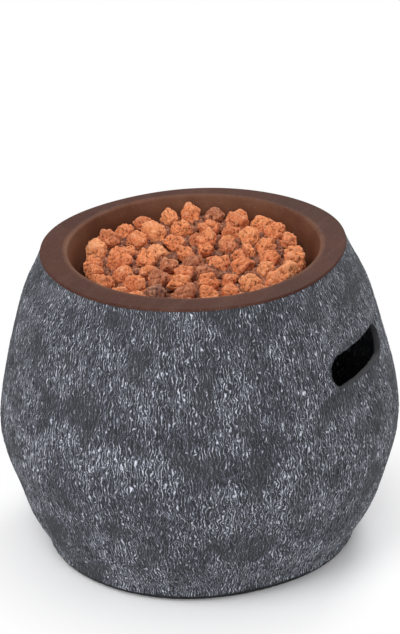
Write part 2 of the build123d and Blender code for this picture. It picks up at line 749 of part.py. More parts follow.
# Igniter cap: unscrews from the neck, and holds the button captive
cap_back_y = igniter_neck_y + cap_gap
cap_front_y = cap_back_y + cap_height
cap_inner_y = cap_front_y - cap_wall
with BuildPart() as igniter_cap:
    with Locations(facing_back(igniter_x, cap_back_y, control_z)):
        Cylinder(cap_radius, cap_height, align=upward)
    chamfer(igniter_cap.edges().group_by(Axis.Y)[-1], cap_wall * 0.5)
    with Locations(facing_back(igniter_x, cap_back_y, control_z)):
        Cylinder(igniter_neck_radius + cap_gap, cap_height - cap_wall, align=upward, mode=Mode.SUBTRACT)
        Cylinder(button_radius + button_gap, cap_height, align=upward, mode=Mode.SUBTRACT)
        with PolarLocations(cap_radius + cap_groove_offset, cap_groove_count):
            Cylinder(cap_groove_radius, cap_height * 0.7, align=upward, mode=Mode.SUBTRACT)
igniter_cap.part.label = "igniter_cap"
export_step(igniter_cap.part, "parts/igniter_cap.step")

# Igniter button: domed plunger with a captive flange and a contact rod
button_flange_y = cap_inner_y - cap_gap - button_flange
button_front_y = cap_front_y + button_proud
rod_back_y = battery_front_y + button_travel + button_gap
with BuildPart() as igniter_button:
    with Locations(facing_back(igniter_x, button_flange_y, control_z)):
        Cylinder(button_flange_radius, button_flange, align=upward)
        Cylinder(button_radius, button_front_y - button_flange_y, align=upward)
    chamfer(igniter_button.edges().group_by(Axis.Y)[-1], button_radius * 0.2)
    with Locations(facing_back(igniter_x, rod_back_y, control_z)):
        Cylinder(button_rod_radius, button_flange_y - rod_back_y, align=upward)
igniter_button.part.label = "igniter_button"
export_step(igniter_button.part, "parts/igniter_button.step")

# Sensor bracket on the pan, with its screw
sensor_z = pan_top_z + bracket_thickness
with BuildPart() as sensor_bracket:
    with BuildSketch(Plane.XY.offset(pan_top_z)):
        with Locations((0, sensor_y)):
            RectangleRounded(bracket_width, bracket_depth, bracket_depth / 4)
        with Locations((-sensor_spacing / 2, sensor_y)):
            Circle(probe_radius + sensor_hole_gap, mode=Mode.SUBTRACT)
        with Locations((sensor_spacing / 2, sensor_y)):
            Circle(ceramic_radius + sensor_hole_gap, mode=Mode.SUBTRACT)
        with Locations((0, sensor_y)):
            Circle(screw_radius + screw_gap, mode=Mode.SUBTRACT)
    extrude(amount=bracket_thickness)
sensor_bracket.part.label = "sensor_bracket"
export_step(sensor_bracket.part, "parts/sensor_bracket.step")

bracket_screw = hex_screws([Plane((0, sensor_y, sensor_z))], screw_head_radius, screw_head,
                           bracket_thickness + sheet + bracket_screw_end)
bracket_screw.part.label = "bracket_screw"
export_step(bracket_screw.part, "parts/bracket_screw.step")

# Spark electrode: glazed ceramic with a collar that rests on the bracket
with BuildPart() as spark_electrode:
    with Locations((sensor_spacing / 2, sensor_y, pan_floor_z - ceramic_below)):
        Cylinder(ceramic_radius, ceramic_below + sheet + bracket_thickness + ceramic_above, align=upward)
    with Locations((sensor_spacing / 2, sensor_y, sensor_z)):
        Cylinder(ceramic_radius + collar_step, collar_height, align=upward)
    chamfer(spark_electrode.edges().group_by(Axis.Z)[-1], ceramic_radius / 3)
spark_electrode.part.label = "spark_electrode"
export_step(spark_electrode.part, "parts/spark_electrode.step")

# Spark pin out of the top of the ceramic
with BuildPart() as spark_pin:
    with Locations((sensor_spacing / 2, sensor_y, sensor_z + ceramic_above)):
        Cylinder(spark_pin_radius, spark_pin_length, align=upward)
spark_pin.part.label = "spark_pin"
export_step(spark_pin.part, "parts/spark_pin.step")

# Thermocouple tip: a stepped probe with a collar
with BuildPart() as thermocouple_tip:
    with Locations((-sensor_spacing / 2, sensor_y, pan_floor_z - probe_below)):
        Cylinder(probe_radius, probe_below + sheet + bracket_thickness + probe_above, align=upward)
    with Locations((-sensor_spacing / 2, sensor_y, sensor_z)):
        Cylinder(probe_radius + collar_step, collar_height, align=upward)
    chamfer(thermocouple_tip.edges().group_by(Axis.Z)[-1], probe_radius * 0.6)
thermocouple_tip.part.label = "thermocouple_tip"
export_step(thermocouple_tip.part, "parts/thermocouple_tip.step")


def lead(start, end, outward):
    """A lead from under the burner down, across the hollow and straight into the back of its end."""
    drop = start - Vector(0, 0, lead_drop)
    low = Vector(end.X + outward, start.Y + lead_run, (drop.Z + end.Z) / 2)
    near = Vector(end.X + 0.6 * outward, end.Y - lead_near, end.Z + lead_sag)
    with BuildPart() as run:
        with BuildLine() as path:
            FilletPolyline(start, drop, low, near, end - Vector(0, lead_end, 0), end, radius=lead_bends)
        with BuildSketch(Plane(origin=path.line @ 0, z_dir=path.line % 0)):
            RegularPolygon(lead_radius, 6)
        sweep(path=path.wires()[0])
    return run


# Thermocouple lead from the probe to the back of the valve
probe_bottom = Vector(-sensor_spacing / 2, sensor_y, pan_floor_z - probe_below)
valve_back = Vector(valve_x - valve_width / 4, valve_back_y, control_z)
thermocouple_lead = lead(probe_bottom, valve_back, -lead_sag)
thermocouple_lead.part.label = "thermocouple_lead"
export_step(thermocouple_lead.part, "parts/thermocouple_lead.step")

# Igniter lead from the ceramic to the back of the housing
ceramic_bottom = Vector(sensor_spacing / 2, sensor_y, pan_floor_z - ceramic_below)
igniter_back = Vector(igniter_x, igniter_back_y, control_z)
igniter_lead = lead(ceramic_bottom, igniter_back, lead_sag)
igniter_lead.part.label = "igniter_lead"
export_step(igniter_lead.part, "parts/igniter_lead.step")

# Rock guard: bent sheet arch over the sensors
with BuildPart() as rock_guard:
    with BuildSketch(Plane.XZ.offset(-sensor_y - guard_depth / 2)):
        with BuildLine() as guard_line:
            FilletPolyline((-guard_width / 2 + guard_foot, pan_top_z + sheet / 2),
                           (-guard_width / 2 + guard_foot, pan_top_z + guard_height),
                           (guard_width / 2 - guard_foot, pan_top_z + guard_height),
                           (guard_width / 2 - guard_foot, pan_top_z + sheet / 2), radius=guard_corner)
            offset(amount=sheet / 2, side=Side.BOTH)
        make_face()
    extrude(amount=guard_depth)
rock_guard.part.label = "rock_guard"
export_step(rock_guard.part, "parts/rock_guard.step")

# Rubber feet in pockets under the base flange, and their screws
with BuildPart() as rubber_feet:
    with Locations(*[at_angle(foot_circle_radius, a, 0) for a in foot_angles]):
        Cylinder(foot_radius, foot_height, align=upward)
        Cylinder(screw_head_radius + screw_gap, screw_head, align=upward, mode=Mode.SUBTRACT)
        Cylinder(screw_radius + screw_gap, foot_height, align=upward, mode=Mode.SUBTRACT)
rubber_feet.part.label = "rubber_feet"
export_step(rubber_feet.part, "parts/rubber_feet.step")

foot_screw_planes = [
    Plane(origin=at_angle(foot_circle_radius, a, screw_head), z_dir=(0, 0, -1)) for a in foot_angles
]
foot_screws = hex_screws(foot_screw_planes, screw_head_radius, screw_head - foot_screw_recess,
                         foot_height - screw_head + foot_screw_length - foot_screw_end_gap)
foot_screws.part.label = "foot_screws"
export_step(foot_screws.part, "parts/foot_screws.step")


# Lava rocks: each grows round its own centre until it meets its neighbours, the wall or the pan
def heap(x, y):
    """Extra height of the rock bed: lowest where the flame stands, highest on the heap's side."""
    away = min(1.0, hypot(x, y) / (0.8 * lip_outer_radius))
    side = cos(atan2(y, x) - radians(heap_angle))
    return heap_height * away * away * (0.55 + 0.45 * side)


def bed_floor(x, y):
    """Height that a rock rests on: the rock guard, the ring burner or the pan's lip."""
    margin = 0.65 * rock_size
    if abs(x) < guard_width / 2 + margin and abs(y - sensor_y) < guard_depth / 2 + margin:
        return pan_top_z + guard_height + sheet
    if hypot(x, y) > ring_radius + ring_width / 2 + 0.6 * rock_size:
        return ledge_z + sheet
    return ring_z + ring_height / 2


def rock_centres():
    """Centre, floor and reach of every rock: a lower layer round the burner and a heaped top layer."""
    draw = Random(rock_seed)
    bed_radius = lip_outer_radius - bed_wall_gap
    lower_rings = [(bed_radius - 0.7 * rock_size, 0.0), (ring_radius - ring_width / 4, 0.5),
                   (0.24 * bed_radius, 0.3)]
    seeds = []
    for radius, shift in lower_rings:
        count = int(2 * pi * radius / (1.22 * rock_size))
        # the outer rocks stand in equal numbers between the tray screws
        if radius > ring_radius:
            count -= count % tray_screw_count
        for k in range(count):
            a = 2 * pi * (k + shift) / count
            floor = bed_floor(radius * cos(a), radius * sin(a))
            seeds.append((radius, a, floor + 0.45 * rock_size, 0.85))
    top_rings = int((bed_radius - 0.4 * rock_size) / (0.95 * rock_size)) + 1
    for ring in range(top_rings):
        radius = (bed_radius - 0.5 * rock_size) * ring / (top_rings - 1)
        count = max(1, int(2 * pi * radius / (1.0 * rock_size)))
        for k in range(count):
            a = 2 * pi * (k + draw.uniform(-0.22, 0.22)) / count + 0.4 * ring
            size = draw.choice((0.85, 1.0, 1.0, 1.15))
            level = ledge_z + bed_height + draw.uniform(-0.14, 0.1) * rock_size
            level += heap(radius * cos(a), radius * sin(a)) - 0.45 * rock_size
            seeds.append((radius + draw.uniform(-0.07, 0.07) * rock_size, a, level, size))
    rocks = []
    for radius, a, z, size in seeds:
        centre = Vector(radius * cos(a), radius * sin(a), z)
        rocks.append((centre, bed_floor(centre.X, centre.Y), size * rock_reach * rock_size))
    return rocks


def rock_vertices(index, centres, draw):
    """Corner points of one rock, cut back by a plane towards each neighbour, the wall and the pan."""
    centre, floor, reach = centres[index]
    bed_radius = lip_outer_radius - bed_wall_gap
    planes = [(Vector(0, 0, -1), centre.Z - floor - rock_gap)]
    outward = Vector(centre.X, centre.Y, 0)
    if outward.length > rock_gap:
        planes.append((outward.normalized(), bed_radius - outward.length))
    for other, (place, _, size) in enumerate(centres):
        between = place - centre
        if other != index and between.length < reach + size:
            planes.append((between.normalized(), between.length * reach / (reach + size) - rock_gap / 2))
    squash = Vector(draw.uniform(0.8, 1.1), draw.uniform(0.8, 1.1), draw.uniform(0.75, 1.0))
    turn = draw.uniform(0, 2 * pi)
    points = []
    for k in range(rock_points):
        up = 1 - 2 * (k + 0.5) / rock_points
        a = k * pi * (3 - sqrt(5)) + turn
        ray = Vector(sqrt(1 - up * up) * cos(a), sqrt(1 - up * up) * sin(a), up)
        stretched = Vector(ray.X * squash.X, ray.Y * squash.Y, ray.Z * squash.Z)
        length = reach * draw.uniform(0.88, 1.12) * stretched.length
        for normal, distance in planes:
            toward = ray.dot(normal)
            if toward > 0.05:
                length = min(length, distance / toward)
        points.append(centre + ray * length)
    return points


draw = Random(rock_seed + 1)
rock_places = rock_centres()
rock_solids = []
for index in range(len(rock_places)):
    corners = rock_vertices(index, rock_places, draw)
    rock_solids.append(ConvexPolyhedron(corners, align=None, mode=Mode.PRIVATE))
lava_rocks = Compound(children=rock_solids)
lava_rocks.label = "lava_rocks"
export_step(lava_rocks, "parts/lava_rocks.step")
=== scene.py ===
import json
from math import atan2, cos, radians, sin

import bmesh
import bpy
import numpy as np
from mathutils import Matrix, Vector


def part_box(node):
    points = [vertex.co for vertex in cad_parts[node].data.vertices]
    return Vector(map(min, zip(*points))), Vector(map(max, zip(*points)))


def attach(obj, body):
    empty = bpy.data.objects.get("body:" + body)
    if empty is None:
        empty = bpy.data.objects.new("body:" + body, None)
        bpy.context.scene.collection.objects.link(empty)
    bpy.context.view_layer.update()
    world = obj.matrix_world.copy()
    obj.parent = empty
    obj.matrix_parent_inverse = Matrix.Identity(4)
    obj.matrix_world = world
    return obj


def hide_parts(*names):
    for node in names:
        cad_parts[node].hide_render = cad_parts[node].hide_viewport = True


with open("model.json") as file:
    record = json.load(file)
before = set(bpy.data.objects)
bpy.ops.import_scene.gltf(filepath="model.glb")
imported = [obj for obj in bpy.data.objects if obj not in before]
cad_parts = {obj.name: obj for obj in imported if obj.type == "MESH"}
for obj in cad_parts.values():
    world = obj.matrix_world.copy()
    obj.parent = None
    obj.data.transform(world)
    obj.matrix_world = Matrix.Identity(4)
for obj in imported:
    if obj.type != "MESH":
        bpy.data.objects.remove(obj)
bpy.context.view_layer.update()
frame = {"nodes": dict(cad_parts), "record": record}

# The photograph's frame and the camera that took it
IMAGE_WIDTH = 400
IMAGE_HEIGHT = 634
FOCAL_PIXELS = 2405.0
CAMERA_DISTANCE = 3.024
CAMERA_ELEVATION = radians(27.12)
CAMERA_AZIMUTH = radians(29.4)
CAMERA_ROLL = radians(-2.0)
CAMERA_TARGET_Z = 0.19625
TARGET_PIXEL = (196.1, 386.73)
SENSOR = 36.0
CLIP_START = 0.1

# Lamps: name, metres to the right of the view, away along it and up, size and watts
LAMPS = (
    ("key", -0.9, -1.3, 2.4, 1.4, 38),
    ("fill", -0.3, -2.4, 0.7, 1.4, 25),
    ("back", 1.0, 1.7, 2.0, 1.2, 38),
)
LAMP_TARGET_Z = 0.2
AMBIENT_COLOUR = (0.97, 0.98, 1.0)
AMBIENT_STRENGTH = 0.34

# The floor, the white added to what it reflects, and the radii between which it fades to white
FLOOR_REACH = 6.0
FLOOR_COLOUR = (0.93, 0.93, 0.94)
FLOOR_LIFT = 0.06
FLOOR_FADE = (0.19, 0.34)

# Stone relief, in metres
STONE_VOXEL = 0.0017
STROKE_DEPTH = 0.0015
STROKE_WIDTH = 0.0052
STROKE_LENGTH = 0.0135
LUMP_DEPTH = 0.0030
LUMP_SIZE = (0.085, 0.085, 0.070)
SMALL_LUMP_SIZE = 0.034
DRIFT = 0.006
DRIFT_SIZE = 0.040
STONE_CHIP_SIZE = 0.011
PATCH_SIZE = 0.045
CRUST_SIZE = 0.045
CRUST_FADE_Z = (0.095, 0.040)
FLAKE_SIZE = 0.0075
# between these heights the relief flattens and painted shade darkens the bottom edge
BOTTOM_EDGE_Z = (0.011, 0.004)
NEUTRAL_RELIEF = 0.35

# Places on the stone: the rim bowl's seat, the control panel's recess and the hand slots
SEAT_Z = 0.3895
FLUSH_BELOW_SEAT = (0.034, 0.006)
RECESS_EDGE = 0.004
RECESS_RELIEF = 0.12
SLOT_Z = 0.286
SLOT_HALF_HEIGHT = 0.034
SLOT_HALF_LENGTH = 0.085
SLOT_INNER_RADIUS = 0.19

# Painted strokes on the stone: lines in a turn, wander in radians and the wander's scale
BROAD_STROKES = (350, 22.0, 120.0)
FINE_STROKES = (580, 26.0, 175.0)
STROKE_LOW = -0.40
STROKE_FLOW = (1.0, 1.0, 0.62)

# Rim bowl, as radii and heights
# radii of the painted highlight along the rounded inner edge of the top
LIP_HIGHLIGHT_RISE = (0.1500, 0.1545)
LIP_HIGHLIGHT_FALL = (0.1620, 0.1560)
# the radii across which the painted flame light inside gives way to the outer brown
FLAME_GLOW_INSIDE = (0.152, 0.162)
# heights and radii of the painted shade on the underside of the outer edge
RIM_UNDERSIDE_SHADE_Z = (0.3890, 0.3898)
RIM_UNDERSIDE_SHADE_RADIUS = (0.176, 0.180)

# Lava rocks
ROCK_SEED = 5
ROCK_ROUNDNESS = 16.0
ROCK_PIT_DEPTH = 0.07
ROCK_GROWTH = (1.00, 1.20)
ROCK_GRAIN = 0.0019
ROCK_PIT = 0.0030
NOISE_SHIFT = 50
UPPER_ROCK_Z = 0.352
TONE_DRAW = (1.7, 1.4)
# a lower tone for rocks at the front and in the middle
TONED_DOWN_SHARE = 0.72
TONED_DOWN_FRONT_Y = -0.06
TONED_DOWN_RADIUS = 0.05

# Chips between the rocks, their low tone painted shade in the gaps
CHIP_SPACING = 0.0085
CHIP_REACH = 0.0078
CHIP_DROP = 0.007
CHIP_SCATTER = 0.35
CHIP_NEIGHBOUR = 0.030
CHIP_CLEARANCE = 0.88
CHIP_TILT = 0.25
CHIP_PLANES = (0.65, 1.05)
CHIP_ROUNDNESS = 6.0
CHIP_SHADE_TONE = 0.12

# Dial marks, from the off place at the top, and the knob's pointer
DIAL_TURN = radians(180)
DIAL_TICKS = 9
TICK_GAP = 0.0030
TICK_LENGTH = 0.0020
TICK_GROWTH = 0.0035
TICK_WIDTH = 0.0011
POINTER_SPAN = (0.38, 0.74)
POINTER_WIDTH = 0.0016
PAINT_HEIGHT = 0.0002
TICK_SUNK = 0.0001
POINTER_SUNK = 0.0003


# Noise on points

def hashed(cells, seed, channel):
    """A repeatable number from -1 to 1 for each whole-numbered cell."""
    h = cells[:, 0].astype(np.uint64) * np.uint64(73856093)
    h ^= cells[:, 1].astype(np.uint64) * np.uint64(19349663)
    h ^= cells[:, 2].astype(np.uint64) * np.uint64(83492791)
    h += np.uint64(seed * 7919 + channel * 104729)
    h ^= h >> np.uint64(15)
    h *= np.uint64(2246822519)
    h ^= h >> np.uint64(13)
    h *= np.uint64(3266489917)
    h ^= h >> np.uint64(16)
    return (h & np.uint64(0xFFFF)).astype(np.float64) / 32767.5 - 1.0


def noise(points, seed):
    """Smooth gradient noise from about -1 to 1, with features about one unit wide."""
    base = np.floor(points)
    inside = points - base
    base = base.astype(np.int64) + 100000
    fade = inside ** 3 * (inside * (inside * 6 - 15) + 10)
    total = np.zeros(len(points))
    for corner in np.ndindex(2, 2, 2):
        cells = base + corner
        away = inside - corner
        slope = sum(hashed(cells, seed, axis) * away[:, axis] for axis in range(3))
        weight = np.prod(np.where(corner, fade, 1 - fade), axis=1)
        total += weight * slope
    return np.clip(total * 1.5, -1, 1)


def clouds(points, seed):
    """The same noise from about 0 to 1."""
    return 0.5 + 0.5 * noise(points, seed)


def ridges(points, seed, sharpness):
    """Noise turned into thin ridges: 1 on a ridge line and 0 away from it."""
    return np.clip(1 - np.abs(noise(points, seed)) * sharpness, 0, 1)


def smooth_step(low, high, value):
    """0 at low and 1 at high, with a smooth rise between; low may be the larger."""
    t = np.clip((value - low) / (high - low), 0, 1)
    return t * t * (3 - 2 * t)


# Mesh helpers

def mesh_arrays(mesh):
    """Vertex places and normals of a mesh as arrays."""
    places = np.empty(len(mesh.vertices) * 3)
    mesh.vertices.foreach_get("co", places)
    normals = np.empty(len(mesh.vertices) * 3)
    mesh.vertices.foreach_get("normal", normals)
    return places.reshape(-1, 3), normals.reshape(-1, 3)


def set_places(mesh, places):
    mesh.vertices.foreach_set("co", places.astype(np.float32).ravel())
    mesh.update()


def add_attribute(mesh, name, values):
    attribute = mesh.attributes.new(name, "FLOAT", "POINT")
    attribute.data.foreach_set("value", values.astype(np.float32))


def new_piece(name, mesh, body, material):
    """A finished piece of the object, riding on its body."""
    piece = bpy.data.objects.new(name, mesh)
    bpy.context.scene.collection.objects.link(piece)
    mesh.materials.clear()
    mesh.materials.append(material)
    mesh.polygons.foreach_set("use_smooth", [True] * len(mesh.polygons))
    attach(piece, body)
    return piece


def remeshed(node, voxel):
    """A copy of a CAD node's mesh made of even small faces."""
    source = frame["nodes"][node]
    copy = bpy.data.objects.new(node + "_copy", source.data.copy())
    bpy.context.scene.collection.objects.link(copy)
    modifier = copy.modifiers.new("even", "REMESH")
    modifier.mode = "VOXEL"
    modifier.voxel_size = voxel
    mesh = bpy.data.meshes.new_from_object(copy.evaluated_get(bpy.context.evaluated_depsgraph_get()))
    bpy.data.objects.remove(copy)
    return mesh


# Node materials

class Finish:
    """A Principled material with short calls for the nodes that feed it."""

    def __init__(self, name, **values):
        self.material = bpy.data.materials.new(name)
        self.material.use_nodes = True
        self.tree = self.material.node_tree
        self.shader = self.tree.nodes["Principled BSDF"]
        self.coordinates = self.add("ShaderNodeTexCoord").outputs["Object"]
        for key, value in values.items():
            self.shader.inputs[key.replace("_", " ")].default_value = value

    def add(self, kind, **settings):
        node = self.tree.nodes.new(kind)
        for key, value in settings.items():
            setattr(node, key, value)
        return node

    def put(self, socket, value):
        """Links a socket to another, or gives it a plain value."""
        if isinstance(value, bpy.types.NodeSocket):
            self.tree.links.new(value, socket)
        else:
            socket.default_value = value

    def feed(self, name, value):
        self.put(self.shader.inputs[name], value)

    def stretched(self, scale):
        """The object's coordinates, multiplied by a scale for each axis."""
        node = self.add("ShaderNodeMapping")
        self.put(node.inputs["Vector"], self.coordinates)
        node.inputs["Scale"].default_value = scale
        return node.outputs["Vector"]

    def noise(self, scale, detail=3.0, roughness=0.55, vector=None):
        node = self.add("ShaderNodeTexNoise")
        self.put(node.inputs["Vector"], vector if vector is not None else self.coordinates)
        node.inputs["Scale"].default_value = scale
        node.inputs["Detail"].default_value = detail
        node.inputs["Roughness"].default_value = roughness
        return node.outputs["Fac"]

    def cells(self, scale, vector):
        node = self.add("ShaderNodeTexVoronoi")
        self.put(node.inputs["Vector"], vector)
        node.inputs["Scale"].default_value = scale
        return node.outputs["Distance"]

    def strokes(self, count, wander, scale, vector, low):
        """Upright wavy lines round the Z axis: the sine of a count of turns, pushed about by noise."""
        x, y, _ = self.parts(self.coordinates)
        turn = self.math("MULTIPLY", self.math("ARCTAN2", y, x), float(count))
        push = self.math("MULTIPLY", self.noise(scale, 2.0, 0.5, vector), wander)
        return self.span(self.math("SINE", self.math("ADD", turn, push)), low, 1.0)

    def radius(self):
        """Distance from the Z axis."""
        x, y, _ = self.parts(self.coordinates)
        return self.math("SQRT", self.math("ADD", self.math("MULTIPLY", x, x), self.math("MULTIPLY", y, y)))

    def attribute(self, name):
        return self.add("ShaderNodeAttribute", attribute_name=name).outputs["Fac"]

    def math(self, operation, a, b=0.0):
        node = self.add("ShaderNodeMath", operation=operation)
        self.put(node.inputs[0], a)
        self.put(node.inputs[1], b)
        return node.outputs[0]

    def span(self, value, low, high, to_low=0.0, to_high=1.0):
        node = self.add("ShaderNodeMapRange")
        self.put(node.inputs["Value"], value)
        node.inputs["From Min"].default_value = low
        node.inputs["From Max"].default_value = high
        node.inputs["To Min"].default_value = to_low
        node.inputs["To Max"].default_value = to_high
        return node.outputs["Result"]

    def ramp(self, value, stops):
        """Colours along a value: stops are (place, (r, g, b))."""
        node = self.add("ShaderNodeValToRGB")
        elements = node.color_ramp.elements
        while len(elements) < len(stops):
            elements.new(0.5)
        for element, (place, colour) in zip(elements, stops):
            element.position = place
            element.color = (*colour, 1)
        self.put(node.inputs["Fac"], value)
        return node.outputs["Color"]

    def mix(self, share, a, b):
        node = self.add("ShaderNodeMix", data_type="RGBA")
        self.put(node.inputs["Factor"], share)
        self.put(node.inputs["A"], a if isinstance(a, bpy.types.NodeSocket) else (*a, 1))
        self.put(node.inputs["B"], b if isinstance(b, bpy.types.NodeSocket) else (*b, 1))
        return node.outputs["Result"]

    def parts(self, vector):
        node = self.add("ShaderNodeSeparateXYZ")
        self.put(node.inputs[0], vector)
        return node.outputs

    def bump(self, height, distance, strength, below=None):
        node = self.add("ShaderNodeBump")
        node.inputs["Distance"].default_value = distance
        node.inputs["Strength"].default_value = strength
        self.put(node.inputs["Height"], height)
        if below is not None:
            self.put(node.inputs["Normal"], below)
        return node.outputs["Normal"]


def stone_finish():
    """Charcoal cast stone on fine upright wavy strokes, with painted shade in the gaps and whitish crests
    that are partly dry-brushed paint and partly painted highlight.
    """
    f = Finish("stone_grey", Specular_IOR_Level=0.30)
    relief = f.attribute("relief")
    patch = f.attribute("patch")
    slot_shade_mask = f.attribute("slot_shade_mask")
    # painted shade along the bottom edge: the colour height sinks there
    bottom_shade = f.span(f.attribute("bottom_shade"), 0.0, 1.0, 1.0, 0.30)
    flow = f.stretched(STROKE_FLOW)
    grit = f.noise(1100.0, 2.0, 0.6)
    region = f.noise(16.0, 3.0, 0.6)
    spots = f.noise(230.0, 2.0, 0.5, flow)

    # broad and fine strokes take turns from spot to spot
    broad = f.strokes(*BROAD_STROKES, flow, STROKE_LOW)
    fine = f.strokes(*FINE_STROKES, flow, STROKE_LOW)
    broad = f.math("MULTIPLY", broad, f.span(spots, 0.36, 0.60, 0.10, 1.0))
    fine = f.math("MULTIPLY", fine, f.span(spots, 0.62, 0.40, 0.10, 0.85))
    strokes = f.math("MAXIMUM", broad, fine)
    crest = f.math("ADD", f.math("MULTIPLY", strokes, 0.66), f.math("MULTIPLY", relief, 0.34))
    brushed = f.math("MULTIPLY", f.span(region, 0.36, 0.60, 0.72, 1.0), f.span(patch, 0.0, 1.0, 1.0, 0.82))
    height = f.math("MULTIPLY", f.math("MULTIPLY", crest, brushed), bottom_shade)
    height = f.math("ADD", height, f.span(grit, 0.3, 0.7, -0.07, 0.07))

    # painted shade in the gaps and painted highlight on the crests, over light grey dry-brushed paint
    colour = f.ramp(height, [
        (0.03, (0.013, 0.014, 0.017)), (0.22, (0.032, 0.034, 0.041)), (0.38, (0.076, 0.082, 0.098)),
        (0.53, (0.175, 0.188, 0.226)), (0.73, (0.600, 0.630, 0.705)),
    ])
    smooth = f.ramp(f.noise(45.0, 5.0, 0.65), [(0.35, (0.046, 0.047, 0.049)), (0.65, (0.066, 0.067, 0.070))])
    colour = f.mix(f.math("MULTIPLY", patch, 0.22), colour, smooth)
    # painted shade on the walls inside the hand slots
    painted_slot_shade = f.mix(f.span(grit, 0.3, 0.7), (0.020, 0.020, 0.023), (0.040, 0.040, 0.044))
    f.feed("Base Color", f.mix(slot_shade_mask, colour, painted_slot_shade))
    f.feed("Roughness", f.span(height, 0.1, 0.9, 0.80, 0.50))
    carved = f.math("MULTIPLY", f.math("MULTIPLY", strokes, brushed), f.span(slot_shade_mask, 0.0, 1.0, 1.0, 0.0))
    f.feed("Normal", f.bump(grit, 0.0004, 0.5, f.bump(carved, 0.0030, 1.0)))
    return f.material


def rim_finish():
    """Smooth brown cast stone with faint streaks, warmer and brighter inside as painted flame light, a
    painted highlight along the rounded inner edge of the top, and painted shade on the underside of the outer
    edge.
    """
    f = Finish("stone_brown", Specular_IOR_Level=0.06)
    z = f.parts(f.coordinates)[2]
    radius = f.radius()
    cloud = f.noise(14.0, 5.0, 0.6)
    speckle = f.noise(420.0, 3.0, 0.6)
    rubbed = f.span(f.noise(60.0, 3.0, 0.6, f.stretched((1.0, 0.25, 1.0))), 0.50, 0.75, 0.0, 0.20)
    # painted highlight along the rounded inner edge of the top
    lip_highlight = f.math("MULTIPLY", f.span(radius, *LIP_HIGHLIGHT_RISE), f.span(radius, *LIP_HIGHLIGHT_FALL))
    lip_highlight = f.math("MULTIPLY", lip_highlight, f.span(cloud, 0.35, 0.65, 0.10, 0.45))
    outer = f.ramp(cloud, [(0.3, (0.055, 0.021, 0.014)), (0.7, (0.090, 0.038, 0.027))])
    # painted flame light: the inside is warmer and brighter than the outer brown
    inner = f.ramp(cloud, [(0.3, (0.120, 0.042, 0.022)), (0.7, (0.190, 0.072, 0.038))])
    colour = f.mix(f.span(radius, *FLAME_GLOW_INSIDE, 1.0, 0.0), outer, inner)
    colour = f.mix(rubbed, colour, (0.170, 0.098, 0.072))
    colour = f.mix(lip_highlight, colour, (0.240, 0.130, 0.085))
    colour = f.mix(f.span(speckle, 0.60, 0.75, 0.0, 0.45), colour, (0.24, 0.17, 0.14))
    colour = f.mix(f.span(speckle, 0.42, 0.28, 0.0, 0.5), colour, (0.055, 0.040, 0.036))
    # painted shade on the underside of the outer edge
    underside_shade = f.math("MULTIPLY", f.span(z, *RIM_UNDERSIDE_SHADE_Z, 1.0, 0.0), f.span(radius, *RIM_UNDERSIDE_SHADE_RADIUS))
    f.feed("Base Color", f.mix(underside_shade, colour, (0.030, 0.026, 0.025)))
    f.feed("Roughness", f.span(cloud, 0.3, 0.7, 0.52, 0.66))
    f.feed("Normal", f.bump(speckle, 0.0005, 0.45))
    return f.material


def lava_finish():
    """Porous terracotta rock with a tone of its own for each rock, painted shade in its creases, pits and
    pores, and a painted highlight on its crests.
    """
    f = Finish("lava", Specular_IOR_Level=0.25, Roughness=0.88)
    relief = f.attribute("relief")
    pores = f.cells(330.0, f.mix(0.12, f.coordinates, f.noise(90.0)))
    grain = f.noise(700.0, 4.0, 0.65)
    base = f.ramp(f.attribute("tone"), [
        (0.00, (0.220, 0.100, 0.070)), (0.12, (0.420, 0.145, 0.075)), (0.34, (0.800, 0.245, 0.095)),
        (0.75, (0.920, 0.320, 0.125)), (1.00, (0.940, 0.390, 0.170)),
    ])
    # painted shade for the creases, pits and pores
    crevice_shade = f.mix(0.78, base, (0.035, 0.014, 0.009))
    # a lighter colour, used for the rock's own grain specks and for the painted highlight on the crests
    grain_and_crest_highlight = f.mix(0.55, base, (0.98, 0.52, 0.30))
    # painted shade where the relief sinks into creases and pits
    colour = f.mix(f.span(relief, 0.0, 0.30), crevice_shade, base)
    # painted highlight on the crests
    colour = f.mix(f.span(relief, 0.40, 0.80, 0.0, 0.9), colour, grain_and_crest_highlight)
    # painted shade in the pores
    colour = f.mix(f.span(pores, 0.30, 0.14, 0.0, 0.80), colour, crevice_shade)
    f.feed("Base Color", f.mix(f.span(grain, 0.55, 0.75, 0.0, 0.35), colour, grain_and_crest_highlight))
    coarse = f.bump(f.span(pores, 0.1, 0.42), 0.0012, 0.8)
    f.feed("Normal", f.bump(grain, 0.0006, 0.6, coarse))
    return f.material


def metal_finish(name, colour, roughness, grain, streak=(1, 1, 1)):
    """Metal with brushed or cast grain along one axis, and small stains."""
    f = Finish(name, Metallic=1.0)
    lines = f.noise(grain, 3.0, 0.6, f.stretched(streak))
    stain = f.noise(55.0, 4.0, 0.6)
    dull = tuple(0.72 * c for c in colour)
    f.feed("Base Color", f.mix(f.span(stain, 0.40, 0.66), colour, dull))
    f.feed("Roughness", f.span(lines, 0.3, 0.7, roughness - 0.08, roughness + 0.12))
    f.feed("Normal", f.bump(lines, 0.00012, 0.35))
    return f.material


def moulded_finish(name, colour, roughness, grain, depth, sheen=None):
    """Moulded plastic, rubber, paint or glaze: fine texture and a faint cloudiness."""
    f = Finish(name, Specular_IOR_Level=0.45)
    texture = f.noise(grain, 2.0, 0.5)
    cloud = f.noise(70.0, 3.0, 0.6)
    lighter = tuple(min(1.0, 1.25 * c + 0.004) for c in colour)
    f.feed("Base Color", f.mix(f.span(cloud, 0.35, 0.7), colour, lighter))
    f.feed("Roughness", f.span(cloud, 0.3, 0.7, roughness - 0.05, roughness + 0.08))
    f.feed("Normal", f.bump(texture, depth, 0.5))
    if sheen is not None:
        f.shader.inputs["Coat Weight"].default_value = sheen
        f.shader.inputs["Coat Roughness"].default_value = 0.15
    return f.material


